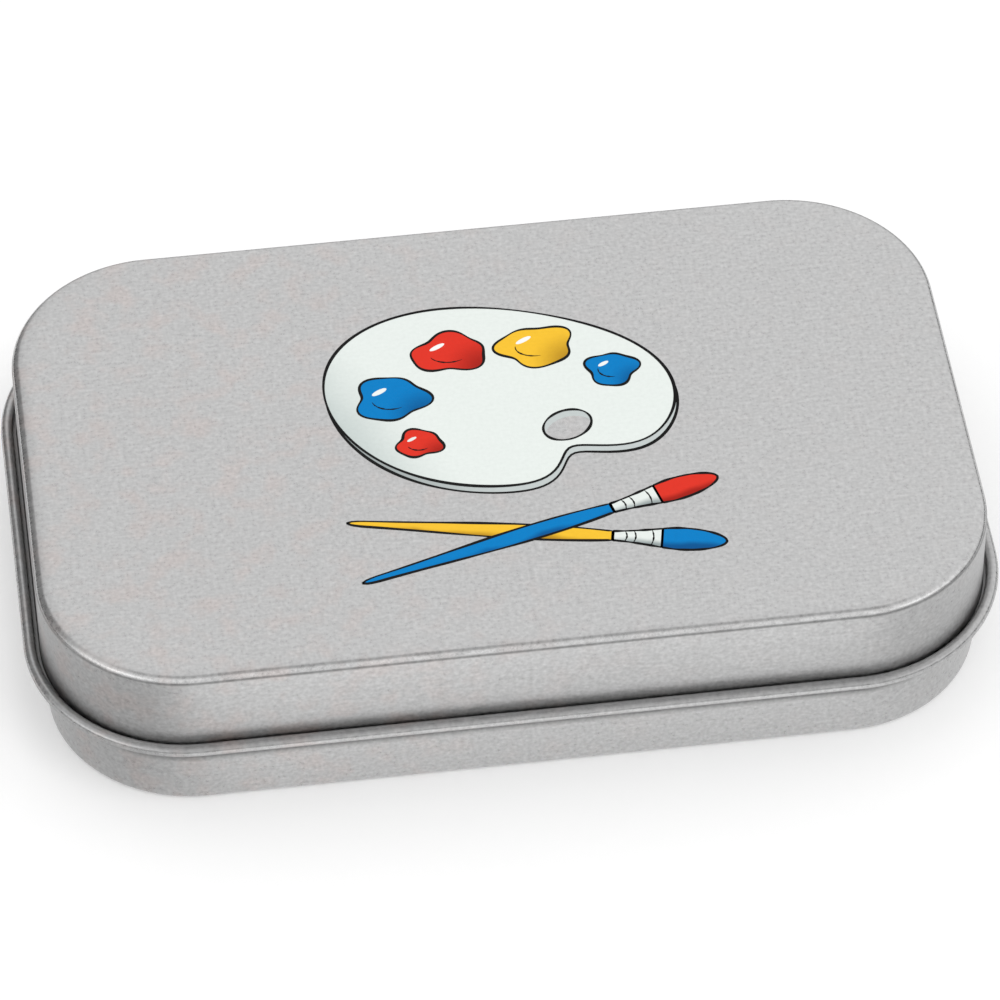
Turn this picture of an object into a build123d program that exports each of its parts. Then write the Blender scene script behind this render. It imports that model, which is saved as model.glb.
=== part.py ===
from build123d import *
import os
from math import atan2, cos, radians, sin, sqrt, tan

# Hinged pocket tin, pressed from two sheets of tinplate and joined by two wire hinge pins.
# The origin is the middle of the tin's underside. X runs along the length, Y to the hinge at
# the back, and Z up. The tin is drawn closed. All sizes are in millimetres.

# Closed tin
overall_length = 95.0
overall_depth = 60.0
overall_height = 18.0
sheet = 0.23
roll_flats = 9

# Hinge pins, with the running fit between a pin and the sheet that is rolled round it
pin_diameter = 0.66
pin_fit = 0.04
pin_seat_length = 4.0
pin_end_margin = 1.5

# Knuckles: tongues of the tray's back wall, bent outwards and rolled round the pins
knuckle_width = 9.0
knuckle_side_gap = 0.3
knuckle_curl_angle = 300.0
knuckle_bend_radius = 0.15
knuckle_root_relief = 0.3

# Lid: drawn cover whose lower edge turns outwards and is rolled up into a rim
lid_corner_radius = 14.3
lid_shoulder_radius = 0.9
rim_height = 8.8
rim_corner_radius = 14.5
rim_gap = 0.4
rim_curl_angle = 270.0
rim_bend_radius = 0.15
slot_height_over_pin = 1.2
slot_corner_radius = 0.4

# Tray: a foot below the rim, a step, a neck inside the lid, and a top edge rolled inwards
foot_clearance = 0.15
foot_corner_radius = 14.2
foot_edge_radius = 0.9
step_drop = 2.4
step_rise = 0.5
neck_clearance = 0.45
neck_headroom = 2.6
hem_radius = 0.5
hem_curl_angle = 270.0

# Rim and lid, inwards from the overall size
rim_radius = pin_diameter / 2 + pin_fit + sheet
rim_length = overall_length - 2 * rim_radius
rim_depth = overall_depth - 2 * rim_radius
rim_bottom = rim_height - rim_radius
rim_to_lid = rim_radius + rim_gap
lid_length = rim_length - 2 * rim_to_lid
lid_depth = rim_depth - 2 * rim_to_lid

# Tray, inwards from the lid
foot_inset = sheet + foot_clearance
foot_length = lid_length - 2 * foot_inset
foot_depth = lid_depth - 2 * foot_inset
neck_inset = sheet + neck_clearance
neck_length = lid_length - 2 * neck_inset
neck_depth = lid_depth - 2 * neck_inset
neck_corner_radius = lid_corner_radius - neck_inset
step_top = rim_bottom - step_drop + step_rise
neck_top = overall_height - sheet - neck_headroom
hem_axis_height = neck_top - hem_radius

# Hinge
hinge_y = rim_depth / 2
tongue_top = rim_height + rim_radius
tongue_root = tongue_top - sheet - knuckle_bend_radius - knuckle_root_relief
slot_width = knuckle_width + 2 * knuckle_side_gap
pin_length = slot_width + 2 * pin_seat_length
rim_straight = rim_length - 2 * rim_corner_radius
hinge_x = rim_straight / 2 - pin_end_margin - pin_length / 2
hinge_positions = (-hinge_x, hinge_x)


def rounded_path(length, depth, corner_radius, height):
    """Closed path round the tin at one height, from the middle of the back."""
    with BuildLine(Plane.XY.offset(height)) as path:
        half = FilletPolyline(
            (0, depth / 2),
            (length / 2, depth / 2),
            (length / 2, -depth / 2),
            (0, -depth / 2),
            radius=corner_radius,
        )
        mirror(half, about=Plane.YZ)
    return path.wire()


def rolled_edge(y, z, radius, start_angle, curl_angle):
    """Outline of a rolled sheet edge's cross-section, as short flats round the roll.

    Angles are in degrees, from the outward direction towards the upward one."""
    angles = [radians(start_angle + curl_angle * i / roll_flats) for i in range(roll_flats + 1)]
    outside = [(y + radius * cos(a), z + radius * sin(a)) for a in angles]
    bore = [(y + (radius - sheet) * cos(a), z + (radius - sheet) * sin(a)) for a in angles]
    return outside + bore[::-1]


def soften(edges, radius, as_flat):
    """Rounds a bend of the sheet, or puts one flat across the same rounding where it is hidden."""
    if as_flat:
        chamfer(edges, length=radius * (2 - sqrt(2)))
    else:
        fillet(edges, radius=radius)


def lid_form(inset):
    """The lid's drawn form, or the space inside it when inset by one sheet."""
    with BuildPart() as form:
        with BuildSketch(Plane.XY.offset(rim_bottom)):
            RectangleRounded(lid_length - 2 * inset, lid_depth - 2 * inset, lid_corner_radius - inset)
        extrude(amount=overall_height - inset - rim_bottom)
        soften(form.faces().sort_by(Axis.Z)[-1].edges(), lid_shoulder_radius - inset, inset > 0)
    return form.part


def tray_form(inset):
    """The tray's drawn form up to its hem, or the space inside it when inset by one sheet."""
    step_slope = atan2(neck_inset - foot_inset, step_rise)
    step_shift = inset * tan(step_slope / 2)
    foot_top = step_top - step_rise - step_shift
    with BuildPart() as form:
        with BuildSketch(Plane.XY.offset(inset)):
            RectangleRounded(foot_length - 2 * inset, foot_depth - 2 * inset, foot_corner_radius - inset)
        extrude(amount=foot_top - inset)
        soften(form.faces().sort_by(Axis.Z)[0].edges(), foot_edge_radius - inset, inset > 0)
        with BuildSketch(Plane.XY.offset(foot_top)):
            RectangleRounded(foot_length - 2 * inset, foot_depth - 2 * inset, foot_corner_radius - inset)
        with BuildSketch(Plane.XY.offset(foot_top + step_rise)):
            RectangleRounded(neck_length - 2 * inset, neck_depth - 2 * inset, neck_corner_radius - inset)
        loft(ruled=True)
        extrude(form.faces().sort_by(Axis.Z)[-1], amount=hem_axis_height - foot_top - step_rise)
    return form.part


lid_outside = lid_form(0)
lid_inside = lid_form(sheet)
rim_path = rounded_path(rim_length, rim_depth, rim_corner_radius, rim_height)

# Lid
with BuildPart() as lid:
    add(lid_outside)
    # Flange that joins the wall to the rim, on a small bend
    with BuildSketch(Plane.XY.offset(rim_bottom)):
        RectangleRounded(rim_length, rim_depth, rim_corner_radius)
    extrude(amount=sheet)
    add(lid_inside, mode=Mode.SUBTRACT)
    flange_underside = lid.faces().filter_by(Plane.XY).sort_by(Axis.Z)[0]
    soften(flange_underside.inner_wires()[0].edges(), rim_bend_radius + sheet, True)
    flange_top = lid.faces().filter_by(Plane.XY).sort_by(Axis.Z)[1]
    soften(flange_top.inner_wires()[0].edges(), rim_bend_radius, True)
    # Rim rolled outwards and up, with its raw edge towards the wall
    with BuildSketch(Plane.YZ):
        with BuildLine():
            Polyline(*rolled_edge(hinge_y, rim_height, rim_radius, -90, rim_curl_angle), close=True)
        make_face()
    sweep(path=rim_path)
    # Slots at the back for the tray's knuckles, through rim, flange and wall
    with BuildSketch(Plane.XZ.offset(-hinge_y - 2 * rim_radius)) as slots:
        with Locations(*((x, rim_height) for x in hinge_positions)):
            Rectangle(slot_width, slot_height_over_pin, align=(Align.CENTER, Align.MIN))
            Rectangle(slot_width, 2 * rim_radius, align=(Align.CENTER, Align.MAX))
        fillet(slots.vertices().group_by(Axis.Y)[-1], radius=slot_corner_radius)
    extrude(amount=3 * rim_radius + rim_gap + 2 * sheet, mode=Mode.SUBTRACT)
lid.part.label = "lid"

tray_outside = tray_form(0)
tray_inside = tray_form(sheet)
hem_path = rounded_path(
    neck_length - 2 * hem_radius,
    neck_depth - 2 * hem_radius,
    neck_corner_radius - hem_radius,
    hem_axis_height,
)

# Base tray
with BuildPart() as base:
    add(tray_outside)
    add(tray_inside, mode=Mode.SUBTRACT)
    # Top edge rolled inwards
    with BuildSketch(Plane.YZ):
        with BuildLine():
            hem_y = neck_depth / 2 - hem_radius
            Polyline(*rolled_edge(hem_y, hem_axis_height, hem_radius, 0, hem_curl_angle), close=True)
        make_face()
    sweep(path=hem_path)
    # The back wall is cut down to the root of each tongue
    with BuildSketch(Plane.XZ.offset(-neck_depth / 2 - sheet)) as cuts:
        with Locations(*((x, tongue_root) for x in hinge_positions)):
            Rectangle(slot_width, neck_top - tongue_root + sheet, align=(Align.CENTER, Align.MIN))
        fillet(cuts.vertices().group_by(Axis.Y)[0], radius=slot_corner_radius)
    extrude(amount=2 * hem_radius + 2 * sheet, mode=Mode.SUBTRACT)
    # Tongues, bent outwards over the pins and rolled round them into knuckles
    wall_middle = neck_depth / 2 - sheet / 2
    tongue_middle = tongue_top - sheet / 2
    for x in hinge_positions:
        with BuildSketch(Plane.YZ.offset(x)):
            with BuildLine():
                FilletPolyline(
                    (wall_middle, tongue_root),
                    (wall_middle, tongue_middle),
                    (hinge_y, tongue_middle),
                    radius=knuckle_bend_radius + sheet / 2,
                )
                CenterArc((hinge_y, rim_height), rim_radius - sheet / 2, 90, -knuckle_curl_angle)
            trace(line_width=sheet)
        extrude(amount=knuckle_width / 2, both=True)
base.part.label = "base"

# Hinge pins, each held in the rolled rim on both sides of one knuckle
pins = {}
for name, x in zip(("hinge_pin_left", "hinge_pin_right"), hinge_positions):
    with BuildPart() as pin:
        with BuildSketch(Plane.YZ.offset(x)):
            with Locations((hinge_y, rim_height)):
                Circle(pin_diameter / 2)
        extrude(amount=pin_length / 2, both=True)
    pin.part.label = name
    pins[name] = pin.part

os.makedirs("parts", exist_ok=True)
export_step(base.part, "parts/base.step")
export_step(lid.part, "parts/lid.step")
for name, piece in pins.items():
    export_step(piece, f"parts/{name}.step")
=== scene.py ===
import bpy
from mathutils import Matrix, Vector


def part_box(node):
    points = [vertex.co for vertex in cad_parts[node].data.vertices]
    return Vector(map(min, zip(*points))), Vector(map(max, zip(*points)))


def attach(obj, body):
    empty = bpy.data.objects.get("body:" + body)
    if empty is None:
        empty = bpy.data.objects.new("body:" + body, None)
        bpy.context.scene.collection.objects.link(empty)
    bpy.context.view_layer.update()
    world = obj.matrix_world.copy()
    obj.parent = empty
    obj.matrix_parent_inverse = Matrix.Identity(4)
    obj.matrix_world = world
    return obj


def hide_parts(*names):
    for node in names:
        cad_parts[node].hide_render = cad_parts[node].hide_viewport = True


bl_info = {
    "name": "Hinged Pocket Tin",
    "version": (1, 0, 0),
    "blender": (4, 5, 0),
    "location": "View3D > Sidebar > Pocket Tin",
    "description": "A pressed tin with a hinged lid, wire hinge pins and a printed top",
    "category": "Add Mesh",
}

import bpy
import numpy as np
from bpy.props import FloatProperty, FloatVectorProperty, PointerProperty
from mathutils import Matrix, Vector

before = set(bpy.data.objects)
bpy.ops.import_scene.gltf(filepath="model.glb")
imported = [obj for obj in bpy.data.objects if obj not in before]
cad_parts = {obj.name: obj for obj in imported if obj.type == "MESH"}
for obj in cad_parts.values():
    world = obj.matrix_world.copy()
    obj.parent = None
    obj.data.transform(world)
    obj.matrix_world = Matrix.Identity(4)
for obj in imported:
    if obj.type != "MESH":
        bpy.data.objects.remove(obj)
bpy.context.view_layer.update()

MM = 0.001
LID_LOW, LID_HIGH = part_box("lid")
TRAY_LOW, TRAY_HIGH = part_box("base")
PIN_NAMES = ("hinge_pin_left", "hinge_pin_right")
PIN_BOXES = [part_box(name) for name in PIN_NAMES]
PIN_AXIS = (PIN_BOXES[0][0] + PIN_BOXES[0][1]) / 2

# Into how many steps bends, sides and outlines are divided
CORNER_STEPS = 44
SIDE_STEPS = 14
ROLL_STEPS = 34
KNUCKLE_STEPS = 44
BEND_STEPS = 10
SLOPE_STEPS = 8
EDGE_STEPS = 6
PIN_STEPS = 40
OUTLINE_STEPS = 160
GLINT_STEPS = 40

# Edges bent by more than this, in degrees, stay sharp
CREASE = 40

# Where bends are scuffed bright or darkened, as (middle, half width, height) over the bend's angle.
# Above 0 is scuffed metal, on the shoulder and the rim's outer side also a painted highlight;
# below 0 is painted shade.
# Shoulder: a scuffed band that is also a painted highlight, and under it a painted dark line
SHOULDER_WEAR_AND_PAINTED_LIGHT = ((42, 14, 0.8), (20, 9, -0.8))
# Rolled rim: a scuffed band on its outer side that is also a painted highlight, painted shade on its
# inner side and a painted dark line along its underside
ROLL_WEAR_AND_PAINTED_LIGHT = ((32, 20, 0.6), (98, 28, -0.35), (-62, 36, -0.9))
# Rolled rim along the front only: a painted highlight between bands of painted shade
ROLL_FRONT_PAINTED_LIGHT = ((32, 20, -0.6), (50, 24, -0.6), (4, 16, 0.45))
FOOT_WEAR = ((-40, 24, 0.4),)
HEM_WEAR = ((70, 50, 0.6),)
# The sheet in the gap behind the rim and inside it: painted shade
HIDDEN_PAINTED_SHADE = ((90, 900, -1.0),)

# The painted shade of a wall's lower edge and of the step from its foot to its middle, and the
# scuffing of the knuckles
# Painted shade: the lid's wall darkens towards its lower edge, behind the rim
WALL_PAINTED_SHADE = -0.2
# Painted shade on the tray's step under the rim
STEP_PAINTED_SHADE = (-0.35, -0.95)
KNUCKLE_WEAR = 0.35

# Darker in painted shade than this is only the sheet hidden in the rim
HIDDEN_BELOW = -0.95


# Settings

def length(name, description, default, **more):
    """A setting that is a length in metres."""
    return FloatProperty(
        name=name, description=description, default=default, unit="LENGTH", precision=5, **more)


def colour(name, description, default):
    """A setting that is a linear colour."""
    return FloatVectorProperty(
        name=name, description=description, default=tuple(default), subtype="COLOR", min=0, max=1)


def display(red, green, blue):
    """A display colour of three numbers from 0 to 255 as the linear colour that shaders use."""
    share = np.array([red, green, blue]) / 255
    return tuple(np.where(share <= 0.04045, share / 12.92, ((share + 0.055) / 1.055) ** 2.4))


class TinSizes(bpy.types.PropertyGroup):
    """Sizes of the pressed metal that the frame doesn't give by itself"""

    sheet: length("Sheet", "Thickness of the tinplate", 0.23 * MM, min=0.05 * MM)
    corner_radius: length(
        "Lid corner", "Radius of the lid's corners, seen from above", 14.3 * MM)
    shoulder_radius: length("Shoulder", "Radius between the lid's top and its wall", 0.9 * MM)
    crown_width: length(
        "Crown width", "Width of the slight fall of the lid's top towards its shoulder", 1.3 * MM)
    crown_drop: length(
        "Crown drop", "Depth of the slight fall of the lid's top towards its shoulder", 0.09 * MM)
    rim_gap: length(
        "Rim gap", "Space between the lid's wall and the rolled rim at the short sides", 0.4 * MM)
    long_rim_gap: length(
        "Long rim gap", "Space between the lid's wall and the rolled rim at the long sides",
        0.1 * MM)
    bend_radius: length("Bend", "Inside radius of the sharp bends in the sheet", 0.15 * MM)
    foot_clearance: length(
        "Foot clearance", "How far the tray's foot lies inside the lid's inner face", 0.15 * MM)
    foot_corner_radius: length(
        "Foot corner", "Radius of the foot's corners, seen from above", 14.2 * MM)
    foot_edge_radius: length(
        "Foot edge", "Radius between the tray's underside and its wall", 0.9 * MM)
    step_drop: length("Step drop", "How far the tray's step starts below the rim", 2.4 * MM)
    step_rise: length(
        "Step rise", "Height of the slope from the tray's foot to its neck", 0.9 * MM)
    neck_clearance: length(
        "Neck clearance", "How far the tray's neck lies inside the lid's inner face", 0.45 * MM)
    hem_radius: length("Hem", "Radius of the tray's rolled top edge", 0.5 * MM)
    knuckle_width: length(
        "Knuckle width", "Width of the tongue that is rolled round a hinge pin", 9.0 * MM)
    knuckle_gap: length("Knuckle gap", "Space on each side of a knuckle in its slot", 0.3 * MM)
    slot_rise: length(
        "Slot rise", "Height of the lid's slot above the hinge pin's axis", 1.2 * MM)
    slot_corner: length("Slot corner", "Radius of the corners of the slots", 0.4 * MM)
    root_relief: length("Root relief", "Straight part of a tongue below its bend", 0.3 * MM)


class TinFinish(bpy.types.PropertyGroup):
    """Colours of the bare metal and of the print on the lid"""

    tinplate: colour("Tinplate", "Reflected colour of the matt tinplate", (0.56, 0.56, 0.56))
    tinplate_warm: colour(
        "Warm patches", "Faint warmer tone that clouds the tinplate", (0.585, 0.548, 0.538))
    roughness: FloatProperty(
        name="Roughness", description="How matt the tinplate is",
        default=0.31, min=0, max=1, subtype="FACTOR")
    wire: colour("Wire", "Reflected colour of the hinge wire", (0.50, 0.50, 0.49))
    ink_blue: colour("Blue ink", "Blue of the print", display(0, 126, 197))
    ink_red: colour("Red ink", "Red of the print", display(224, 53, 38))
    ink_yellow: colour("Yellow ink", "Yellow of the print", display(246, 195, 52))
    ink_white: colour(
        "White ink", "Pale ground of the printed palette and ferrules", display(231, 237, 233))
    ink_grey: colour("Grey ink", "Grey of the palette's edge", display(196, 203, 202))
    ink_black: colour("Line ink", "Near black of the drawn lines", display(22, 22, 22))
    line_width: length("Line width", "Width of the drawn lines", 0.28 * MM, min=0.05 * MM)


class TinStudio(bpy.types.PropertyGroup):
    """Camera and light"""

    floor: colour("Floor", "Colour of the pale floor", (0.86, 0.86, 0.86))
    sky: FloatProperty(
        name="Sky", description="Strength of the even light from all round", default=0.9, min=0)
    eye: FloatVectorProperty(
        name="Eye", description="Where the camera stands",
        subtype="XYZ", unit="LENGTH", default=(-51.75 * MM, -406.49 * MM, 441.11 * MM))
    aim: FloatVectorProperty(
        name="Aim", description="The point that the camera looks at",
        subtype="XYZ", unit="LENGTH", default=(0.46 * MM, -1.09 * MM, 9.0 * MM))
    roll: FloatProperty(
        name="Roll", description="How far the camera leans about its own line of sight",
        default=np.radians(-0.274), unit="ROTATION")
    lens: FloatProperty(
        name="Lens", description="Focal length on a 36 mm sensor",
        default=217.8, min=1, unit="CAMERA")


# Meshes

def linked(name, data):
    """A new object with this data, in the scene."""
    made = bpy.data.objects.new(name, data)
    bpy.context.scene.collection.objects.link(made)
    return made


def once_round(steps):
    """Angles spaced evenly once round, the first not repeated."""
    return np.linspace(0, 2 * np.pi, steps, endpoint=False)


def circle(angle):
    """Points of the unit circle at an array of angles."""
    return np.stack([np.cos(angle), np.sin(angle)], axis=-1)


def quads(rows, columns, wrap_rows):
    """Corner numbers of a grid's faces; the columns close on themselves, and the rows may."""
    row = np.arange(rows if wrap_rows else rows - 1)[:, None]
    column = np.arange(columns)[None, :]
    after = (column + 1) % columns
    here, above = row * columns, (row + 1) % rows * columns
    corners = [here + column, here + after, above + after, above + column]
    return np.stack(corners, axis=-1).reshape(-1, 4)


def finish_mesh(mesh):
    """Smooth shading, with creases kept sharp."""
    mesh.polygons.foreach_set("use_smooth", np.ones(len(mesh.polygons), bool))
    mesh.set_sharp_from_angle(angle=np.radians(CREASE))
    mesh.update()


def solid(name, points, wrap_rows=False, flip=False, wear_and_painted_light=None):
    """A closed mesh from a grid of points whose columns close on themselves.

    Rows that don't close get one flat face at each end. Faces point outwards; flip turns a grid
    that runs the other way round. A number for each point is stored for the tinplate to read: above
    0 scuffed metal, in places also a painted highlight, and below 0 painted shade."""
    rows, columns = points.shape[:2]
    faces = quads(rows, columns, wrap_rows).tolist()
    if not wrap_rows:
        faces.append(list(range(columns))[::-1])
        faces.append(list(range((rows - 1) * columns, rows * columns)))
    if flip:
        faces = [face[::-1] for face in faces]
    mesh = bpy.data.meshes.new(name)
    mesh.from_pydata(points.reshape(-1, 3), [], faces)
    if wear_and_painted_light is not None:
        scuffs_and_painted_light = np.broadcast_to(wear_and_painted_light, (rows, columns)).ravel().astype(np.float32)
        mesh.attributes.new("wear_and_painted_light", "FLOAT", "POINT").data.foreach_set("value", scuffs_and_painted_light)
    finish_mesh(mesh)
    return linked(name, mesh)


def cut(piece, cutters):
    """Takes the cutters' blocks out of a piece, applies the result and removes the blocks."""
    for cutter in cutters:
        step = piece.modifiers.new("cut", "BOOLEAN")
        step.operation = "DIFFERENCE"
        step.solver = "EXACT"
        step.object = cutter
    bpy.context.view_layer.update()
    evaluated = piece.evaluated_get(bpy.context.evaluated_depsgraph_get())
    whole = bpy.data.meshes.new_from_object(evaluated)
    piece.modifiers.clear()
    old = piece.data
    piece.data = whole
    whole.name = piece.name
    bpy.data.meshes.remove(old)
    for cutter in cutters:
        bpy.data.meshes.remove(cutter.data)


def join_to(target, others):
    """Makes others part of the target's mesh, each still a closed surface of its own."""
    selected = [target, *others]
    with bpy.context.temp_override(active_object=target, selected_editable_objects=selected):
        bpy.ops.object.join()


# Pressed metal

def arc(out, height, radius, start, end, steps, wear_and_painted_light=()):
    """Part of a sheet's cross-section: a circle about (out, height), from one angle to another.

    Angles are in degrees from the outward direction upwards. The third column holds the surface's
    scuffing and painted light: above 0 it is scuffed bright, in places also a painted highlight,
    and below 0 it is darkened by painted shade. It is the sum of bell curves over the angle, each
    given as its middle, its half width and its height."""
    angle = np.linspace(start, end, steps + 1)
    scuffs_and_painted_light = np.zeros(len(angle))
    for middle, half_width, peak in wear_and_painted_light:
        scuffs_and_painted_light += peak * np.exp(-((angle - middle) / half_width) ** 2)
    places = circle(np.radians(angle)) * radius + [out, height]
    return np.concatenate([places, scuffs_and_painted_light[:, None]], axis=1)


def run(out_a, height_a, out_b, height_b, steps=1, wear_and_painted_light=0.0):
    """Part of a sheet's cross-section: points evenly spaced on a straight line."""
    share = np.linspace(0, 1, steps + 1)[:, None]
    start, end = np.array([out_a, height_a, wear_and_painted_light]), np.array([out_b, height_b, wear_and_painted_light])
    return start * (1 - share) + end * share


def ring():
    """Once round a rounded rectangle, as two arrays of one row per point.

    The first places the point's corner centre, from -1 to 1 each way: it stands still through
    a corner's quarter turn and slides along a side. The second is the outward direction, which
    turns through the corner and holds still along the side."""
    turn = np.concatenate([np.arange(CORNER_STEPS) / CORNER_STEPS, np.ones(SIDE_STEPS)])
    slide = np.concatenate([np.zeros(CORNER_STEPS), np.arange(SIDE_STEPS) / SIDE_STEPS])[:, None]
    quarter = np.arange(4)[:, None]
    corner = (quarter + 0.5) * np.pi / 2
    centres = (circle(corner) * (1 - slide) + circle(corner + np.pi / 2) * slide) * np.sqrt(2)
    return centres.reshape(-1, 2), circle(((quarter + turn) * np.pi / 2).ravel())


def carried(section, corner_radius, half_length, half_depth):
    """A cross-section carried round the tin, as a grid of points.

    Each row of the section starts with (out, height): how far it stands out from the lid's wall,
    and how high. corner_radius is the radius that the row's corners would have at the wall, one
    for all rows or one each, as half_depth may be too. A point is its corner's centre plus the
    outward direction times that radius and its own distance out."""
    centres, directions = ring()
    radius = np.broadcast_to(corner_radius, len(section))[:, None, None]
    halves = np.broadcast_arrays(half_length, half_depth, section[:, 0])[:2]
    reach = np.stack(halves, axis=1)[:, None] - radius
    flat = centres * reach + directions * (radius + section[:, 0, None, None])
    height = np.broadcast_to(section[:, 1, None, None], flat.shape[:2] + (1,))
    return np.concatenate([flat, height], axis=2)


def hinge_sizes(sizes):
    """Places that the lid's slots and the tray's tongues share."""
    rim_radius = LID_HIGH.y - PIN_AXIS.y
    tongue_top = PIN_AXIS.z + rim_radius
    half_length, half_depth = (
        (high - low) / 2 - 2 * rim_radius - sizes.rim_gap
        for low, high in ((LID_LOW.x, LID_HIGH.x), (LID_LOW.y, LID_HIGH.y)))
    return {
        "rim_radius": rim_radius,
        "wall": rim_radius + sizes.rim_gap,
        "half_length": half_length,
        "half_depth": half_depth,
        "neck_y": half_depth - sizes.sheet - sizes.neck_clearance,
        "tongue_top": tongue_top,
        "tongue_root": tongue_top - sizes.sheet - sizes.bend_radius - sizes.root_relief,
        "middles": [(low.x + high.x) / 2 for low, high in PIN_BOXES],
    }


def lid_section(sizes, hinge):
    """The lid's sheet in cross-section, from the middle of its top round both faces and back.

    It is made of straight runs and arcs of circles, and its crown falls as a parabola. Besides it
    gives the painted highlight and shade that each row has on top of its own along the front."""
    sheet, bend, shoulder = sizes.sheet, sizes.bend_radius, sizes.shoulder_radius
    top, roll = LID_HIGH.z, hinge["rim_radius"]
    rim_out, rim_height = hinge["wall"], PIN_AXIS.z
    flange = rim_height - roll + sheet
    raw_edge = sheet / 2
    fall = np.arctan(2 * sizes.crown_drop / sizes.crown_width)
    start = 90 - np.degrees(fall)
    axis = top - sizes.crown_drop - shoulder * np.cos(fall)
    share = np.linspace(0, 1, SLOPE_STEPS + 1)
    crown_out = shoulder * (np.sin(fall) - 1) - sizes.crown_width * (1 - share)
    crown = np.stack([crown_out, top - sizes.crown_drop * share ** 2, 0 * share], axis=1)
    under = crown[::-1] - [sheet * np.sin(fall), sheet, 0]
    inner = crown_out[0] - 2 * shoulder
    # The rim with its scuffed band, painted highlight and painted shade, and again with the painted
    # highlight and shade that only the front adds
    rolled, front = (
        arc(rim_out, rim_height, roll, 180, -90, ROLL_STEPS, wear_and_painted_light)
        for wear_and_painted_light in (ROLL_WEAR_AND_PAINTED_LIGHT, ROLL_FRONT_PAINTED_LIGHT))
    before = np.concatenate([
        run(inner, top, inner + shoulder, top),
        crown[:-1],
        arc(-shoulder, axis, shoulder, start, 0, 2 * BEND_STEPS, SHOULDER_WEAR_AND_PAINTED_LIGHT),
        run(0, flange + 3 * bend, 0, flange + 2 * bend, wear_and_painted_light=WALL_PAINTED_SHADE),
        arc(bend, flange + bend, bend, 180, 270, BEND_STEPS, HIDDEN_PAINTED_SHADE),
        arc(rim_out, rim_height, roll - sheet, -90, 180, ROLL_STEPS, HIDDEN_PAINTED_SHADE),
        arc(rim_out - roll + raw_edge, rim_height, raw_edge, 0, -180, EDGE_STEPS),
    ])
    after = np.concatenate([
        arc(bend, flange + bend, bend + sheet, 270, 180, BEND_STEPS),
        arc(-shoulder, axis, shoulder - sheet, 0, start, BEND_STEPS),
        under[1:],
        run(inner + shoulder, top - sheet, inner, top - sheet),
    ])
    front_painted_light = np.concatenate([np.zeros(len(before)), front[:, 2], np.zeros(len(after))])
    return np.concatenate([before, rolled, after]), front_painted_light


def tray_section(sizes, hinge):
    """The tray's sheet in cross-section, from the middle of its underside round both faces.

    It is made of straight runs and arcs of circles, and its step slopes in as 3 t^2 - 2 t^3.
    Besides it gives the corner radius that each row would have at the lid's wall."""
    sheet, edge_radius, hem = sizes.sheet, sizes.foot_edge_radius, sizes.hem_radius
    foot = -(sheet + sizes.foot_clearance)
    neck = -(sheet + sizes.neck_clearance)
    low = TRAY_LOW.z
    edge_out, edge_height = foot - edge_radius, low + edge_radius
    hem_out, hem_height = neck - hem, TRAY_HIGH.z - hem
    raw_edge = sheet / 2
    step_low = LID_LOW.z - sizes.step_drop
    neck_low = step_low + sizes.step_rise + sheet
    rise = np.linspace(0, 1, SLOPE_STEPS + 1)
    ease = rise * rise * (3 - 2 * rise)
    # The slope's third column is painted shade under the rim, from its foot to its middle; its inner
    # face gets none
    slope = np.stack([
        foot + (neck - foot) * ease,
        step_low + sizes.step_rise * rise,
        np.interp(rise, (0, 0.5), STEP_PAINTED_SHADE),
    ], axis=1)
    inner_slope = slope[::-1] * [1, 1, 0] - [sheet, 0.06 * sheet, 0]
    neck_radius = sizes.corner_radius
    foot_radius = sizes.foot_corner_radius - foot
    slope_radius = foot_radius + (neck_radius - foot_radius) * ease
    # The underside's flat part starts just inside the foot's edge
    flat, flat_end = foot - 2 * edge_radius, foot - 1.1 * edge_radius
    parts = [
        (foot_radius, [
            run(flat, low, flat_end, low),
            arc(edge_out, edge_height, edge_radius, -90, 0, 2 * BEND_STEPS, FOOT_WEAR),
            run(foot, step_low - 2 * sheet, foot, step_low - 1.5 * sheet)]),
        (slope_radius, [slope]),
        (neck_radius, [
            run(neck, neck_low, neck, neck_low + sheet),
            arc(hem_out, hem_height, hem, 0, 270, ROLL_STEPS, HEM_WEAR),
            arc(hem_out, hem_height - hem + raw_edge, raw_edge, -90, 90, EDGE_STEPS),
            arc(hem_out, hem_height, hem - sheet, 270, 0, ROLL_STEPS),
            run(neck - sheet, neck_low + sheet, neck - sheet, neck_low)]),
        (slope_radius[::-1], [inner_slope]),
        (foot_radius, [
            arc(edge_out, edge_height, edge_radius - sheet, 0, -90, BEND_STEPS),
            run(flat_end, low + sheet, flat, low + sheet)]),
    ]
    rows = [np.concatenate(pieces) for _, pieces in parts]
    radii = [np.broadcast_to(radius, len(part)) for (radius, _), part in zip(parts, rows)]
    return np.concatenate(rows), np.concatenate(radii)


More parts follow.
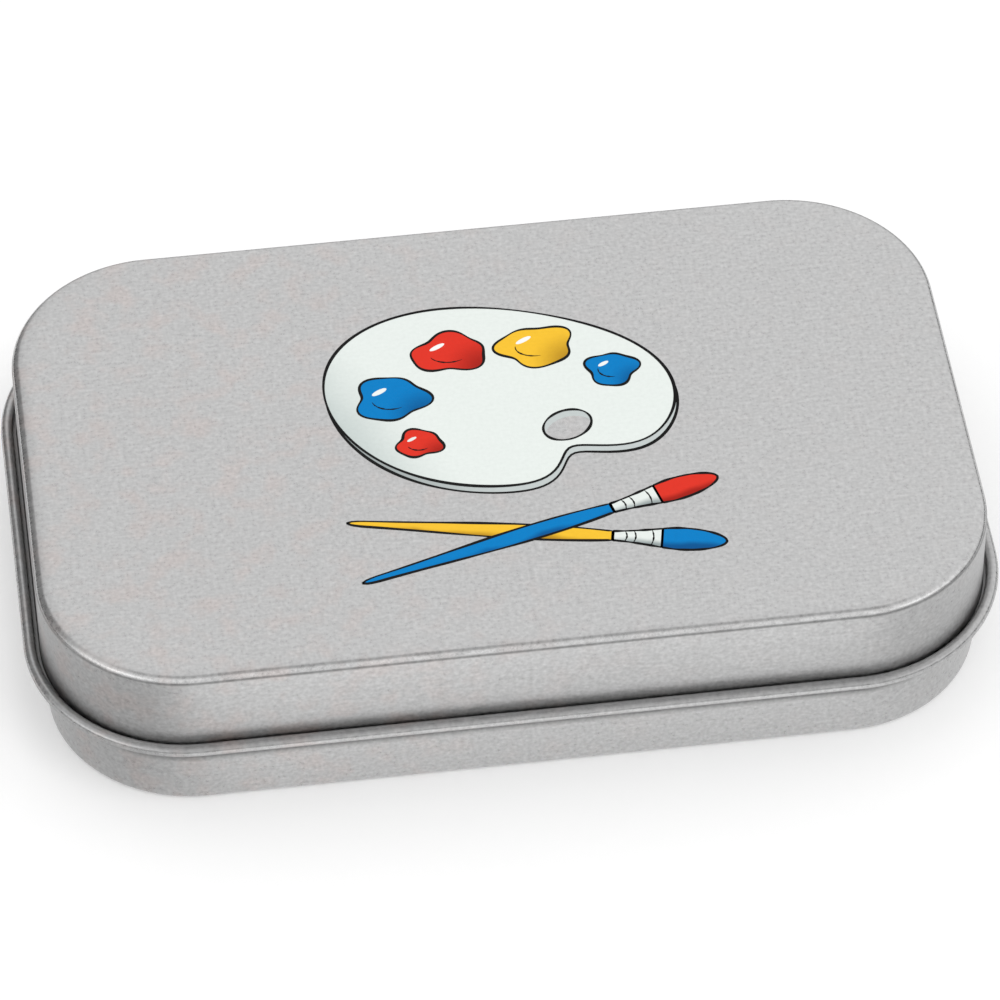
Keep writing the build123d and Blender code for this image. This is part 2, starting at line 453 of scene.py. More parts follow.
def tongue(name, middle, sizes, hinge):
    """A tongue of the tray's back wall, bent out over the pin and rolled round it.

    A flat strip's section, a rectangle with rounded sides, is carried along a line that rises,
    bends outwards and circles the pin; the last rows shrink in a half circle to round its tip."""
    half_sheet = sizes.sheet / 2
    bend = sizes.bend_radius + half_sheet
    wall_y = hinge["neck_y"] - half_sheet
    level = hinge["tongue_top"] - half_sheet
    curl = hinge["rim_radius"] - half_sheet
    line = np.concatenate([
        run(wall_y, hinge["tongue_root"], wall_y, level - bend, 2)[:-1],
        arc(wall_y + bend, level - bend, bend, 180, 90, BEND_STEPS),
        arc(PIN_AXIS.y, PIN_AXIS.z, curl, 90, -210, KNUCKLE_STEPS),
    ])[:, :2]
    tangent = np.gradient(line, axis=0)
    tangent /= np.linalg.norm(tangent, axis=1)[:, None]
    lean = np.linspace(0.2, 1.45, EDGE_STEPS)
    tip = line[-1] + tangent[-1] * half_sheet * np.sin(lean)[:, None]
    shrink = np.concatenate([np.ones(len(line)), np.cos(lean)])[:, None]
    line = np.concatenate([line, tip])
    tangent = np.concatenate([tangent, np.repeat(tangent[-1:], len(lean), axis=0)])
    normal = np.stack([-tangent[:, 1], tangent[:, 0]], axis=1)
    rounding = half_sheet * circle(np.radians(np.linspace(-90, 90, EDGE_STEPS + 1)))
    half_flat = sizes.knuckle_width / 2 - half_sheet
    across = np.concatenate([half_flat + rounding[:, 0], -half_flat - rounding[:, 0]])
    through = np.concatenate([rounding[:, 1], -rounding[:, 1]])
    grid = np.empty((len(line), len(across), 3))
    grid[:, :, 0] = middle + across - np.sign(across) * half_sheet * (1 - shrink)
    grid[:, :, 1:] = line[:, None] + normal[:, None] * (through * shrink)[:, :, None]
    return solid(name, grid, wear_and_painted_light=KNUCKLE_WEAR)


def slot_cutter(middle, width, corner, low, high, near_y, far_y, rounded_top):
    """A block that cuts one slot: a rectangle seen from behind, its two upper or two lower corners
    rounded by quarter circles, carried along Y."""
    side = width / 2
    quarter = corner * circle(np.linspace(0, np.pi / 2, EDGE_STEPS + 1))
    if rounded_top:
        right = quarter + [side - corner, high - corner]
        square = np.array([[-side, low], [side, low]])
    else:
        right = (quarter[:, ::-1] * [1, -1] + [side - corner, low + corner])[::-1]
        square = np.array([[-side, high], [side, high]])
    edge = np.concatenate([square, right, right[::-1] * [-1, 1]])
    rows = [np.insert(edge, 1, y, axis=1) + [middle, 0, 0] for y in (near_y, far_y)]
    return solid("slot", np.stack(rows), flip=rounded_top)


def cut_slots(piece, sizes, hinge, **place):
    """Cuts a slot through the back of a piece at each hinge pin's middle."""
    width = sizes.knuckle_width + 2 * sizes.knuckle_gap
    cut(piece, [slot_cutter(x, width, sizes.slot_corner, **place) for x in hinge["middles"]])


def wire(name, low, high):
    """A hinge pin: a circle carried along X, its ends rounded over by a small quarter circle."""
    radius = (high.y - low.y) / 2
    rounding = radius * 0.35
    start = circle(np.linspace(0, np.pi / 2, 5)) * [-rounding, rounding]
    start += [low.x + rounding, radius - rounding]
    rows = np.concatenate([start, start[::-1] * [-1, 1] + [low.x + high.x, 0]])
    around = circle(once_round(PIN_STEPS))
    points = np.empty((len(rows), PIN_STEPS, 3))
    points[:, :, 0] = rows[:, :1]
    points[:, :, 1:] = rows[:, 1:, None] * around + [(low.y + high.y) / 2, (low.z + high.z) / 2]
    return solid(name, points)


# Materials

class Value:
    """A shader socket that takes part in Python expressions.

    Each operator adds one Math node, so 1 - mask or mask * 0.5 builds the nodes as it is read."""

    def __init__(self, tree, socket):
        self.tree = tree
        self.socket = socket

    def node(self, kind, settings=(), inputs=(), output=0):
        """Adds a node of a kind, makes its settings, then sets or links each named socket."""
        made = self.tree.nodes.new(kind)
        for name, value in dict(settings).items():
            setattr(made, name, value)
        for name, value in dict(inputs).items():
            if isinstance(value, Value):
                self.tree.links.new(value.socket, made.inputs[name])
            else:
                made.inputs[name].default_value = value
        return Value(self.tree, made.outputs[output])

    def math(self, operation, *values):
        """One Math node on these values."""
        return self.node("ShaderNodeMath", {"operation": operation}, enumerate(values))

    def vector(self, operation, inputs, output="Vector"):
        """One Vector Math node."""
        return self.node("ShaderNodeVectorMath", {"operation": operation}, inputs, output)

    def __add__(self, other):
        return self.math("ADD", self, other)

    def __sub__(self, other):
        return self.math("SUBTRACT", self, other)

    def __rsub__(self, other):
        return self.math("SUBTRACT", other, self)

    def __mul__(self, other):
        return self.math("MULTIPLY", self, other)

    __radd__ = __add__
    __rmul__ = __mul__

    def greater(self, other):
        """The greater of this and another value."""
        return self.math("MAXIMUM", self, other)

    def smooth(self, low, high):
        """0 below low, 1 above high and a smooth curve between."""
        return self.node(
            "ShaderNodeMapRange", {"interpolation_type": "SMOOTHSTEP"},
            {"Value": self, "From Min": low, "From Max": high})

    def noise(self, lumps, detail=2.0, shift=0.0):
        """Soft random values about 0.5 at this place, with this many lumps per metre, one number
        for all directions or one each along X, Y and Z."""
        stretch = np.broadcast_to(lumps, 3).tolist()
        place = self.vector("MULTIPLY_ADD", {0: self, 1: stretch, 2: [shift] * 3})
        return self.node(
            "ShaderNodeTexNoise", {}, {"Vector": place, "Scale": 1.0, "Detail": detail})

    def bump(self, strength, depth):
        """A surface direction that follows this value as a height, with this depth in metres."""
        sockets = {"Strength": strength, "Distance": depth, "Height": self}
        return self.node("ShaderNodeBump", {}, sockets)

    def mix(self, low, high):
        """The colour low where this is 0, and high where it is 1."""
        sockets = {0: self, 6: opaque(low), 7: opaque(high)}
        return self.node("ShaderNodeMix", {"data_type": "RGBA"}, sockets, output=2)

    def tint(self, amount):
        """This colour times a number that varies."""
        return self.vector("SCALE", {0: self, "Scale": amount})


def opaque(tone):
    """A colour with its alpha, as colour sockets take it."""
    return (*tone, 1.0)


def darker(tone, share):
    """A colour darkened, its strongest channel least, as a shadow in saturated ink is."""
    tone = np.array(tone)
    return tuple(tone * share * (0.75 + 0.25 * tone / max(tone.max(), 1e-6)))


def surface(name):
    """A new material, the place on the object that its patterns follow, and its shader."""
    material = bpy.data.materials.new(name)
    material.use_nodes = True
    tree = material.node_tree
    coordinates = tree.nodes.new("ShaderNodeTexCoord")
    return material, Value(tree, coordinates.outputs["Object"]), tree.nodes["Principled BSDF"]


def shared(name, make, *given):
    """The material of this name, made the first time that a piece needs it."""
    return bpy.data.materials.get(name) or make(name, *given)


def feed(shader, **inputs):
    """Links what varies to the shader's sockets and sets the rest on them; _ stands for a space."""
    for name, value in inputs.items():
        socket = shader.inputs[name.replace("_", " ")]
        if isinstance(value, Value):
            value.tree.links.new(value.socket, socket)
        else:
            socket.default_value = value


def sheet_grain(at):
    """Fine even grain of rolled sheet: grains a quarter millimetre wide, crossed by streaks."""
    grains = at.noise((2300, 2500, 2500))
    along = at.noise((640, 3000, 3000), detail=1.0, shift=11.0)
    across = at.noise((3600, 900, 3600), detail=1.0, shift=23.0)
    return grains * 0.62 + along * 0.22 + across * 0.16


def tinplate(name, finish):
    """Matt tinplate: grain in colour, roughness and bump, warm clouds, specks, scuffed edges that in
    places are also a painted highlight, and painted shade.
    """
    material, at, shader = surface(name)
    grain = sheet_grain(at)
    wear_and_painted_light = at.node("ShaderNodeAttribute", {"attribute_name": "wear_and_painted_light"}, output="Fac")
    x = at.node("ShaderNodeSeparateXYZ", {}, {"Vector": at}, output="X")
    clouds = at.noise(330, shift=4.0).smooth(0.45, 0.72)
    warm = clouds * (1 - x.smooth(-30 * MM, 22 * MM) * 0.9)
    broad = at.noise(55, detail=1.0, shift=7.0)
    cells = at.node("ShaderNodeTexVoronoi", {}, {"Vector": at, "Scale": 130.0}, output="Distance")
    rare = at.noise(95, detail=0.0, shift=31.0).smooth(0.60, 0.62)
    specks = (1 - cells.smooth(0.012, 0.022)) * rare
    sparkle = at.noise(4200, detail=1.0, shift=41.0) - 0.5
    patch = at.noise(420, detail=1.0, shift=17.0).smooth(0.46, 0.62)
    # Above 0 the metal is scuffed bright, in places also a painted highlight; below 0 it is darkened
    # by painted shade, which also roughens it
    rubbed_and_sheen = wear_and_painted_light.greater(0.0)
    painted_shade = wear_and_painted_light.math("MINIMUM", wear_and_painted_light, 0.0)
    texture = (grain - 0.5) * 0.92 + (broad - 0.5) * 0.05 - specks * 0.5
    # Painted shade darkens the colour; scuffing and its painted highlight brighten it in sparkles
    # and patches
    tone = (1 + texture) * (1 + painted_shade * 0.55) + (sparkle + patch * 0.25) * rubbed_and_sheen * 0.7
    feed(
        shader,
        Base_Color=warm.mix(finish.tinplate, finish.tinplate_warm).tint(tone),
        Metallic=1.0,
        Roughness=finish.roughness + (grain - 0.5) * 0.3 - rubbed_and_sheen * 0.06 - painted_shade * 0.2,
        Normal=grain.bump(0.35, 0.03 * MM),
    )
    return material


def hinge_wire(name, finish):
    """Drawn steel wire: fine lines along its length in colour, roughness and bump."""
    material, at, shader = surface(name)
    lines = at.noise((180, 9000, 9000))
    feed(
        shader,
        Base_Color=lines.smooth(0.3, 0.7).mix(darker(finish.wire, 0.8), finish.wire),
        Metallic=1.0,
        Roughness=0.22 + lines * 0.16,
        Normal=lines.bump(0.3, 0.01 * MM),
    )
    return material


def ink(name, tone, dark, shade):
    """Printed ink: a soft airbrushed shade over its colour, the sheet's grain in tone and bump."""
    material, at, shader = surface(name)
    grain = sheet_grain(at)
    feed(
        shader,
        Base_Color=shade(at).mix(tone, dark).tint(1 + (grain - 0.5) * 0.16),
        Roughness=0.42 + (grain - 0.5) * 0.2,
        Specular_IOR_Level=0.08,
        Normal=grain.bump(0.2, 0.02 * MM),
    )
    return material


def toward(direction, low, high):
    """Shade that grows from low to high, in millimetres along a direction in the lid's plane."""
    def shade(at):
        along = at.vector("DOT_PRODUCT", {0: at, 1: (*direction, 0.0)}, output="Value")
        cloud = (at.noise(260, detail=1.0) - 0.5) * (1.6 * MM)
        return (along + cloud).smooth(low * MM, high * MM)
    return shade


def near(point, reach):
    """Shade that is 1 at a point of the lid's top and fades out with distance, in millimetres."""
    def shade(at):
        centre = (*(np.array(point) * MM), LID_HIGH.z)
        return at.vector("DISTANCE", {0: at, 1: centre}, output="Value").smooth(reach * MM, 0)
    return shade


def dress(piece, material, body):
    """Gives a piece its material and the body it moves with."""
    piece.data.materials.clear()
    piece.data.materials.append(material)
    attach(piece, body)


# Print on the lid, in millimetres

# The heights of the layers of ink above the lid's top, in metres, and how far they reach below it
LAYER = {
    "edge": 4e-6, "edge_line": 7e-6, "board": 10e-6, "under": 13e-6, "under_line": 16e-6,
    "paint": 19e-6, "line": 23e-6, "shine": 27e-6}
INK_SINK = 4e-6

PALETTE = {"centre": (0.8, 4.6), "half": (16.6, 12.6), "tilt": -7.0}
THUMB_HOLE = {"centre": (7.2, -0.4), "half": (2.5, 1.9), "tilt": 24.0}
NOTCH = {"angle": -52, "half": 0.26, "depth": 0.27}
BOARD_DROP = (0.12, -0.9)
BOARD_SHADE = (-0.9, -0.42)
DABS = (
    {"name": "blue", "at": (-9.4, 5.4), "size": (3.5, 2.9), "wave": 0.4},
    {"name": "red", "at": (-3.0, 10.9), "size": (3.6, 2.6), "wave": 2.1},
    {"name": "yellow", "at": (5.6, 10.7), "size": (3.7, 2.7), "wave": 4.0},
    {"name": "blue", "at": (12.6, 6.6), "size": (2.5, 2.2), "wave": 5.2},
    {"name": "red", "at": (-7.4, -1.0), "size": (2.2, 1.8), "wave": 1.2},
)

BRUSHES = (
    {"name": "blue", "handle": "yellow", "start": (-15.6, -10.6), "end": (20.2, -17.8),
     "layers": ("under", "under_line")},
    {"name": "red", "handle": "blue", "start": (-15.0, -18.6), "end": (20.6, -9.2),
     "layers": ("paint", "line")},
)
# Shares of a brush's length where its handle and its ferrule end
HANDLE_END = 0.70
FERRULE_END = 0.83
# How much a ferrule's half width grows, where its crimps are and how far they bow, and where the
# bristles are widest and by what share
FERRULE_FLARE = 0.62
CRIMPS = (0.24, 0.42, 0.78)
CRIMP_BOW = 0.22
SWELL_END = 0.3
SWELL = 0.16

# Shares of the line width: for outlines of dabs, brushes and the hole, and for lines inside them
THIN = 0.9
FINE = 0.6


def turned(points, degrees):
    """Points in the plane, turned about the origin."""
    a = np.radians(degrees)
    return points @ np.array([[np.cos(a), np.sin(a)], [-np.sin(a), np.cos(a)]])


def placed(points, form):
    """Points about the origin, stretched by a form's half sizes, tilted and moved to its centre."""
    return turned(points * form["half"], form["tilt"]) + form["centre"]


def palette_outline():
    """The palette's edge: an ellipse whose radius is pulled in by a smooth notch at the lower right
    and pushed out by two slow waves, which give a painter's palette its uneven kidney shape."""
    t = once_round(OUTLINE_STEPS)
    off = np.angle(np.exp(1j * (t - np.radians(NOTCH["angle"]))))
    notch = NOTCH["depth"] * np.exp(-((off / NOTCH["half"]) ** 2))
    reach = 1 - notch + 0.045 * np.cos(2 * t + 0.7) + 0.03 * np.cos(3 * t - 0.6)
    return placed(circle(t) * reach[:, None], PALETTE)


def dab_outline(dab):
    """A dab of paint: an ellipse with three and five soft lobes."""
    t = once_round(OUTLINE_STEPS)
    reach = 1 + 0.11 * np.cos(3 * t + dab["wave"]) + 0.07 * np.cos(5 * t + 2.3 * dab["wave"])
    return circle(t) * reach[:, None] * dab["size"] + dab["at"]


def printed(name, outline, layer, inner=None):
    """A thin slab of ink inside one outline, or between it and an inner one of as many points."""
    low, high = LID_HIGH.z - INK_SINK, LID_HIGH.z + LAYER[layer]
    edges = [(outline, low), (outline, high)]
    if inner is not None:
        edges += [(inner, high), (inner, low)]
    rows = [np.insert(edge * MM, 2, height, axis=1) for edge, height in edges]
    return solid(name, np.stack(rows), wrap_rows=inner is not None)


def drawn(name, path, width, closed=True, sway=0.0, layer="line"):
    """A drawn line as a thin slab of ink: the path moved to both sides by half its width, which
    swells and thins in slow waves along the path, and tapers at the ends of an open one."""
    if closed:
        along = np.roll(path, -1, axis=0) - np.roll(path, 1, axis=0)
    else:
        along = np.gradient(path, axis=0)
    along /= np.linalg.norm(along, axis=1)[:, None]
    share = np.linspace(0, 1, len(path), endpoint=not closed)
    wave = 2 * np.pi * share
    half = width / 2 * (1 + 0.22 * np.sin(3 * wave + sway) + 0.12 * np.sin(7 * wave + 2 * sway))
    if not closed:
        half = half * np.sqrt(np.clip(np.sin(np.pi * share), 0.02, 1))
    aside = np.stack([along[:, 1], -along[:, 0]], axis=1) * half[:, None]
    outer, inner = path + aside, path - aside
    if closed:
        return printed(name, outer, layer, inner)
    return printed(name, np.concatenate([outer, inner[::-1]]), layer)


def handle_half(share):
    """Half the width of a brush's handle along its length: a constant and one arch of a sine."""
    return 0.32 + 0.62 * np.sin(np.pi * np.clip(share, 0, 1) ** 1.5 * 0.86)


def ferrule_half(share):
    """Half the width of a brush's ferrule: it grows as the share along it to the power 1.4."""
    return handle_half(1.0) * 1.02 + FERRULE_FLARE * share ** 1.4


def brush_shapes(brush):
    """Outlines of a brush's handle, ferrule and bristles, its crimp lines, and the way across it.

    Each outline is a half width as a function of the distance along the brush's axis, mirrored.
    The bristles' rises as a quarter of a sine and falls about as a quarter circle. A crimp is a
    flat parabola across the ferrule."""
    start, end = np.array(brush["start"]), np.array(brush["end"])
    whole = np.linalg.norm(end - start)
    axis = (end - start) / whole
    side = np.array([-axis[1], axis[0]])
    handle_end, ferrule_end = HANDLE_END * whole, FERRULE_END * whole

    def shape(along, half):
        middle, across = start + axis * along[:, None], side * half[:, None]
        return np.concatenate([middle - across, (middle + across)[::-1]])

    def crimp(share):
        middle = start + axis * (handle_end + (ferrule_end - handle_end) * share)
        place = np.linspace(-1, 1, 16)[:, None]
        return middle + side * ferrule_half(share) * place + axis * CRIMP_BOW * (1 - place ** 2)

    t = np.linspace(0, 1, 60)
    butt = np.sqrt(np.clip(1 - (1 - np.clip(t * 14, 0, 1)) ** 2, 0, 1))
    rising = 1 + SWELL * np.sin(t / SWELL_END * np.pi / 2)
    fallen = (t - SWELL_END) / (1 - SWELL_END)
    falling = (1 + SWELL) * np.sqrt(np.clip(1 - fallen ** 2, 0, 1)) ** 1.1
    bristles = ferrule_half(1.0) * np.where(t < SWELL_END, rising, falling)
    return {
        "handle": shape(handle_end * t, handle_half(t) * np.maximum(butt, 0.02)),
        "ferrule": shape(handle_end + (ferrule_end - handle_end) * t, ferrule_half(t)),
        "bristles": shape(ferrule_end + (whole - ferrule_end) * t, np.maximum(bristles, 0.03)),
        "crimps": [crimp(share) for share in CRIMPS],
        "side": side,
    }


def line_part(finish, name, path, share=1.0, **more):
    """A drawn line, of some share of the usual width, and its ink."""
    black = finish.ink_black
    material = shared("ink_line", ink, black, darker(black, 0.7), toward((1, 0), -20, 20))
    return drawn(name, path, finish.line_width / MM * share, **more), material


def board_parts(finish):
    """The palette's board and its edge, which is the same board moved down, each with its lines."""
    edge = palette_outline()
    drop = np.array(BOARD_DROP)
    hole = placed(circle(once_round(OUTLINE_STEPS)), THUMB_HOLE)
    # The hole again, with each point in the direction of one on the palette's edge
    across = edge - THUMB_HOLE["centre"]
    angle = np.arctan2(across[:, 1], across[:, 0])
    matched = placed(turned(circle(angle), -THUMB_HOLE["tilt"]), THUMB_HOLE)
    white = shared(
        "ink_board", ink, finish.ink_white, display(176, 188, 186),
        toward(BOARD_SHADE, 5.0, 17.5))
    grey = shared(
        "ink_board_edge", ink, finish.ink_grey, display(150, 158, 157),
        toward(BOARD_SHADE, 2.0, 16.0))
    return [
        (printed("print_board_edge", edge + drop, "edge", matched + drop), grey),
        (printed("print_board", edge, "board", matched), white),
        line_part(finish, "print_line_board", edge, sway=0.6),
        line_part(finish, "print_line_edge", edge + drop, sway=2.6, layer="edge_line"),
        line_part(finish, "print_line_hole", hole, THIN, sway=4.0),
    ]


def dab_parts(finish, i, dab):
    """A dab of paint with its outline, a curved line and a glint, and their inks."""
    at, size = np.array(dab["at"]), np.array(dab["size"])
    shape = dab_outline(dab)
    curl = np.linspace(3.2, 5.1, 40) + 0.3 * np.sin(dab["wave"])
    swirl = at + circle(curl) * [0.55, 0.5] * size
    form = {"centre": at + size * [-0.30, 0.36], "half": size * [0.24, 0.10], "tilt": 28.0}
    glint = placed(circle(once_round(GLINT_STEPS)), form)
    tone = getattr(finish, "ink_" + dab["name"])
    shade = near(at + size * [0.9, -0.9], 1.25 * size[0])
    paint = shared(f"ink_dab_{i}", ink, tone, darker(tone, 0.5), shade)
    shine = shared(
        "ink_shine", ink, display(250, 250, 248), finish.ink_white, toward((0, -1), -16, 4))
    return [
        (printed(f"print_dab_{i}", shape, "paint"), paint),
        line_part(finish, f"print_line_dab_{i}", shape, THIN, sway=dab["wave"]),
        line_part(finish, f"print_line_swirl_{i}", swirl, FINE, closed=False),
        (printed(f"print_shine_{i}", glint, "shine"), shine),
    ]


def brush_parts(finish, brush):
    """A brush's handle, ferrule and bristles, their outlines and its crimp lines, and their inks."""
    name, (fill, outline) = brush["name"], brush["layers"]
    shapes = brush_shapes(brush)
    side = shapes["side"]
    level = float(np.dot(side, brush["start"]))
    shade = toward(tuple(-side), -level + 0.1, -level + 1.0)
    paint, handle = (getattr(finish, "ink_" + key) for key in (name, brush["handle"]))
    tones = {
        "handle": (handle, darker(handle, 0.55)),
        "ferrule": (finish.ink_white, display(150, 160, 160)),
        "bristles": (paint, darker(paint, 0.5)),
    }
    parts = []
    for part, (tone, dark) in tones.items():
        material = shared(f"ink_{part}_{name}", ink, tone, dark, shade)
        parts.append((printed(f"print_{part}_{name}", shapes[part], fill), material))
    for i, part in enumerate(tones):
        line = f"print_line_{part}_{name}"
        parts.append(line_part(finish, line, shapes[part], THIN, sway=i * 1.7, layer=outline))
    for i, crimp in enumerate(shapes["crimps"]):
        line = f"print_line_crimp_{i}_{name}"
        parts.append(line_part(finish, line, crimp, FINE, closed=False, layer=outline))
    return parts


def dress_print(parts):
    """Gives each printed piece its ink. All of them ride on the lid."""
    for piece, material in parts:
        dress(piece, material, "lid")


# Pieces

class TIN_OT_lid(bpy.types.Operator):
    """Makes the pressed lid with its rolled rim and hinge slots"""

    bl_idname = "tin.lid"
    bl_label = "Lid"

    def execute(self, context):
        sizes, finish = context.scene.tin_sizes, context.scene.tin_finish
        hinge = hinge_sizes(sizes)
        section, front_painted_light = lid_section(sizes, hinge)
        out, wear_and_painted_light = section[:, 0], section[:, 2:]
        # The rim keeps its place, and the rest stands nearer to it at the long sides
        nearer = sizes.rim_gap - sizes.long_rim_gap
        closer = np.where(out < sizes.rim_gap - 0.01 * MM, nearer, 0)
        points = carried(
            section, sizes.corner_radius, hinge["half_length"], hinge["half_depth"] + closer)
        # The painted shade in the gap behind the rim stays only where the gap is open, at both ends
        outward = ring()[1]
        wear_and_painted_light = wear_and_painted_light * np.where(wear_and_painted_light < HIDDEN_BELOW, np.abs(outward[:, 0]), 1.0)
        # The rim's painted highlight and shade along the front, fading out round the corners
        wear_and_painted_light = wear_and_painted_light + front_painted_light[:, None] * np.clip(-outward[:, 1], 0, 1) ** 2
        lid = solid("lid_shell", points, flip=True, wear_and_painted_light=wear_and_painted_light)
        roll = hinge["rim_radius"]
        cut_slots(
            lid, sizes, hinge, low=LID_LOW.z - roll, high=PIN_AXIS.z + sizes.slot_rise,
            near_y=hinge["half_depth"] - 2 * sizes.sheet, far_y=LID_HIGH.y + roll,
            rounded_top=True)
        finish_mesh(lid.data)
        dress(lid, shared("matt_tinplate", tinplate, finish), "lid")
        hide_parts("lid")
        return {"FINISHED"}


class TIN_OT_tray(bpy.types.Operator):
    """Makes the pressed tray with its rolled hem and the two knuckles of the hinge"""

    bl_idname = "tin.tray"
    bl_label = "Tray"

    def execute(self, context):
        sizes, finish = context.scene.tin_sizes, context.scene.tin_finish
        hinge = hinge_sizes(sizes)
        section, radii = tray_section(sizes, hinge)
        points = carried(section, radii, hinge["half_length"], hinge["half_depth"])
        tray = solid("tray_shell", points, wear_and_painted_light=section[:, 2:])
        neck_y = hinge["neck_y"]
        cut_slots(
            tray, sizes, hinge, low=hinge["tongue_root"], high=TRAY_HIGH.z + sizes.sheet,
            near_y=neck_y - 2 * sizes.hem_radius - sizes.sheet, far_y=neck_y + sizes.sheet,
            rounded_top=False)
        tongues = [tongue(f"tongue_{i}", x, sizes, hinge) for i, x in enumerate(hinge["middles"])]
        join_to(tray, tongues)
        finish_mesh(tray.data)
        dress(tray, shared("matt_tinplate", tinplate, finish), "base")
        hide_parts("base")
        return {"FINISHED"}


class TIN_OT_pins(bpy.types.Operator):
    """Makes the two wire hinge pins"""

    bl_idname = "tin.pins"
    bl_label = "Hinge Pins"

    def execute(self, context):
        finish = context.scene.tin_finish
        for name, (low, high) in zip(PIN_NAMES, PIN_BOXES):
            pin = wire(name.replace("hinge_pin", "wire_pin"), low, high)
            dress(pin, shared("hinge_wire", hinge_wire, finish), "lid")
            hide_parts(name)
        return {"FINISHED"}


class TIN_OT_print_palette(bpy.types.Operator):
    """Prints the painter's palette with its thumb hole and dabs of paint"""

    bl_idname = "tin.print_palette"
    bl_label = "Printed Palette"

    def execute(self, context):
        finish = context.scene.tin_finish
        dress_print(board_parts(finish))
        for i, dab in enumerate(DABS):
            dress_print(dab_parts(finish, i, dab))
        return {"FINISHED"}


class TIN_OT_print_brushes(bpy.types.Operator):
    """Prints the two crossed brushes"""

    bl_idname = "tin.print_brushes"
    bl_label = "Printed Brushes"

    def execute(self, context):
        for brush in BRUSHES:
            dress_print(brush_parts(context.scene.tin_finish, brush))
        return {"FINISHED"}


# Studio

# Panels that only reflections see: the direction of each from the tin, its size and its brightness
CARDS = (
    {"name": "overhead", "azimuth": 0, "elevation": 84, "size": (1.4, 0.95), "level": 0.5},
    {"name": "front_left", "azimuth": -52, "elevation": 30, "size": (0.95, 0.42), "level": 1.9},
    {"name": "front_right", "azimuth": 50, "elevation": 24, "size": (0.9, 0.42), "level": 1.7},
    {"name": "back_left", "azimuth": -128, "elevation": 24, "size": (1.7, 1.8), "level": 0.27},
    {"name": "back_right", "azimuth": 132, "elevation": 8, "size": (0.9, 0.7), "level": 1.0},
)
CARD_DISTANCE = 1.0

# Grey panels of painted shade on the floor beside the tin, in millimetres, which only reflections
# see: they darken the floor that the metal reflects
FLOOR_SHADES = (
    {"name": "floor_shade_left", "middle": (-56, -16), "size": (68, 160), "level": 0.6},
    {"name": "floor_shade_right", "middle": (57, -14), "size": (68, 160), "level": 0.78},
)
FLOOR_SHADE_HEIGHT = 0.1 * MM

# The dark line of the horizon: a low band round the tin, which only reflections see
HORIZON = {"radius": 0.125, "height": 0.034, "level": 0.12}

FLOOR_HALF = 3.0
FLOOR_DROP = 20e-6
FLOOR_GLOW = 0.2
LAMP = {"azimuth": 24, "elevation": 62, "distance": 1.1, "size": 0.6, "energy": 2.2}
SENSOR_WIDTH = 36.0


def facing(setting):
    """Unit vector from the tin: azimuth 0 is the front, 90 the right-hand side."""
    a, e = np.radians(setting["azimuth"]), np.radians(setting["elevation"])
    return np.array([np.sin(a) * np.cos(e), -np.cos(a) * np.cos(e), np.sin(e)])


def panel(name, points, spread, level):
    """A thin sheet that only reflections see, from a grid of points. Each point's spread is its
    distance each way from the middle, 1 at the edge, and the sheet fades out towards 1."""
    rows, columns = points.shape[:2]
    first = (np.arange(rows - 1)[:, None] * columns + np.arange(columns - 1)).ravel()
    faces = np.stack([first, first + columns, first + columns + 1, first + 1], axis=1)
    mesh = bpy.data.meshes.new(name)
    mesh.from_pydata(points.reshape(-1, 3), [], faces.tolist())
    attribute = mesh.attributes.new("spread", "FLOAT_VECTOR", "POINT")
    attribute.data.foreach_set("vector", spread.ravel().astype(np.float32))
    sheet = linked(name, mesh)

    material = bpy.data.materials.new(name)
    material.use_nodes = True
    tree = material.node_tree
    tree.nodes.clear()
    start = Value(tree, None)
    place = start.node("ShaderNodeAttribute", {"attribute_name": "spread"}, output="Vector")
    reach = place.vector("LENGTH", {0: place}, output="Value")
    clear = start.node("ShaderNodeBsdfTransparent")
    lit = start.node("ShaderNodeEmission", {}, {"Color": (1, 1, 1, 1), "Strength": level})
    both = start.node("ShaderNodeMixShader", {}, {0: reach.smooth(0.98, 0.4), 1: clear, 2: lit})
    end = tree.nodes.new("ShaderNodeOutputMaterial")
    tree.links.new(both.socket, end.inputs["Surface"])
    material.cycles.emission_sampling = "NONE"
    mesh.materials.append(material)
    sheet.visible_camera = False
    sheet.visible_diffuse = False
    sheet.visible_shadow = False


def rectangle(setting, centre, right, up):
    """A flat panel: points spread evenly from its centre, by up to right and up each way."""
    share = np.linspace(-1, 1, 9)
    u, v = np.meshgrid(share, share)
    points = centre + u[..., None] * right + v[..., None] * up
    spread = np.stack([u, v, 0 * u], axis=-1)
    panel("card_" + setting["name"], points, spread, setting["level"])


def card(setting):
    """A panel that stands off from the tin and faces it."""
    out = facing(setting)
    right = np.cross([0, 0, 1], out)
    right /= np.linalg.norm(right)
    half_width, half_height = np.array(setting["size"]) / 2
    rectangle(setting, out * CARD_DISTANCE, right * half_width, np.cross(out, right) * half_height)


def board(setting):
    """A panel that lies on the floor, as painted shade in the floor's reflection."""
    x, y = np.array(setting["middle"]) * MM
    half_x, half_y = np.array(setting["size"]) * MM / 2
    centre = np.array([x, y, FLOOR_SHADE_HEIGHT])
    rectangle(setting, centre, np.array([half_x, 0, 0]), np.array([0, half_y, 0]))


def horizon():
    """A low band round the tin: a circle about the origin, carried up from the floor. It fades out
    towards its upper edge, and would towards an equal edge below the floor."""
    turn, share = np.meshgrid(np.linspace(0, 2 * np.pi, 97), np.linspace(0, 1, 9))
    height = HORIZON["height"] * share[..., None]
    points = np.concatenate([HORIZON["radius"] * circle(turn), height], axis=-1)
    spread = np.stack([0 * share, share, 0 * share], axis=-1)
    panel("card_horizon", points, spread, HORIZON["level"])


